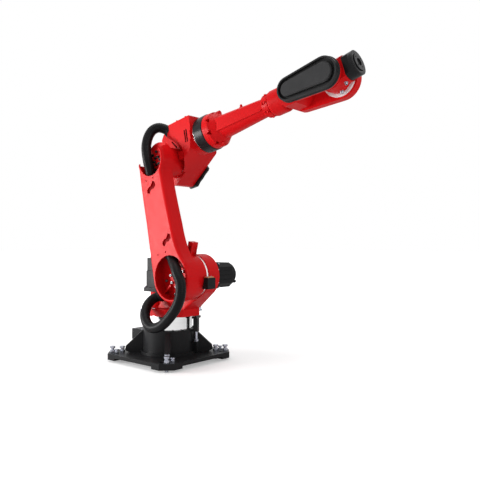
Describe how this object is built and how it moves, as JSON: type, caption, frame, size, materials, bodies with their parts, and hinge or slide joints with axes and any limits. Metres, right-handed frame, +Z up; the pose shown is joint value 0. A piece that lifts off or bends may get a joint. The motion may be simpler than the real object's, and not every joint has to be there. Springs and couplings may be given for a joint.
{
  "type": "industrial robot arm",
  "caption": "Six-axis industrial robot arm on a square floor base: side-hung hollow upper arm, elbow, long tapered forearm and a forked wrist with a covered belt drive.",
  "frame": {"origin": "centre of the square base on the underside of its four corner pads, on the first joint's axis", "axes": "+X forward, the way the arm reaches at rest; +Y to the arm's left; +Z up along the first axis"},
  "size_m": [1.3278, 0.492, 1.3434],
  "materials": {
    "casting_red": "satin enamel",
    "base_black": "satin enamel",
    "motor_black": "satin",
    "machined_silver": "turned",
    "bolt_steel": "zinc plated",
    "stop_black": "satin",
    "stop_copper": "brushed",
    "conduit_black": "ribbed",
    "gland_black": "moulded",
    "cover_black": "satin",
    "cover_grey": "satin",
    "flange_black": "satin"
  },
  "bodies": {
    "base": {"base_casting": "base_black", "connector_box": "base_black", "levelling_bolts": "bolt_steel", "pad_screws": "bolt_steel", "j1_stop": "base_black", "j1_stop_screw": "bolt_steel", "j1_ring": "machined_silver"},
    "turret": {"turret_casting": "casting_red", "j1_motor": "motor_black", "j2_motor": "motor_black", "j2_ring": "machined_silver", "stop_block": "stop_black", "stop_plate": "stop_copper", "lower_gland": "gland_black", "lower_hose": "conduit_black"},
    "upper_arm": {"upper_arm_casting": "casting_red", "j2_reducer": "casting_red", "j3_reducer": "casting_red", "arm_conduit": "conduit_black", "upper_hose": "conduit_black"},
    "elbow": {"elbow_casting": "casting_red", "elbow_cover": "stop_black", "elbow_gland": "gland_black", "j3_ring": "machined_silver", "j4_seal": "machined_silver"},
    "forearm": {"j4_ring": "stop_black", "forearm_tube": "casting_red", "lifting_eye": "casting_red", "wrist_housing": "casting_red", "belt_cover": "cover_black", "cover_panel": "cover_grey", "j5_bearings": "machined_silver"},
    "wrist": {"wrist_body": "casting_red", "j6_housing": "flange_black"},
    "tool": {"tool_flange": "flange_black"}
  },
  "joints": [
    {"name": "j1_turn", "type": "hinge", "parent": "base", "child": "turret", "pos_m": [0, 0, 0.222], "axis": [0, 0, 1], "range_deg": [-155, 155]},
    {"name": "j2_shoulder", "type": "hinge", "parent": "turret", "child": "upper_arm", "pos_m": [0.212, 0, 0.423], "axis": [0, 1, 0], "range_deg": [-70, 62], "deforming": ["lower_hose"]},
    {"name": "j3_elbow", "type": "hinge", "parent": "upper_arm", "child": "elbow", "pos_m": [0.06999, 0, 0.97812], "axis": [0, -1, 0], "range_deg": [-65, 105], "deforming": ["upper_hose"]},
    {"name": "j4_roll", "type": "hinge", "parent": "elbow", "child": "forearm", "pos_m": [0.05349, 0, 1.0564], "axis": [0.9785, 0, 0.2062], "range_deg": [-180, 180]},
    {"name": "j5_bend", "type": "hinge", "parent": "forearm", "child": "wrist", "pos_m": [0.96155, 0, 1.24776], "axis": [0, -1, 0], "range_deg": [-110, 110]},
    {"name": "j6_turn", "type": "hinge", "parent": "wrist", "child": "tool", "pos_m": [0.96155, 0, 1.24776], "axis": [0.9532, 0, 0.3024], "range_deg": [-360, 360]}
  ]
}
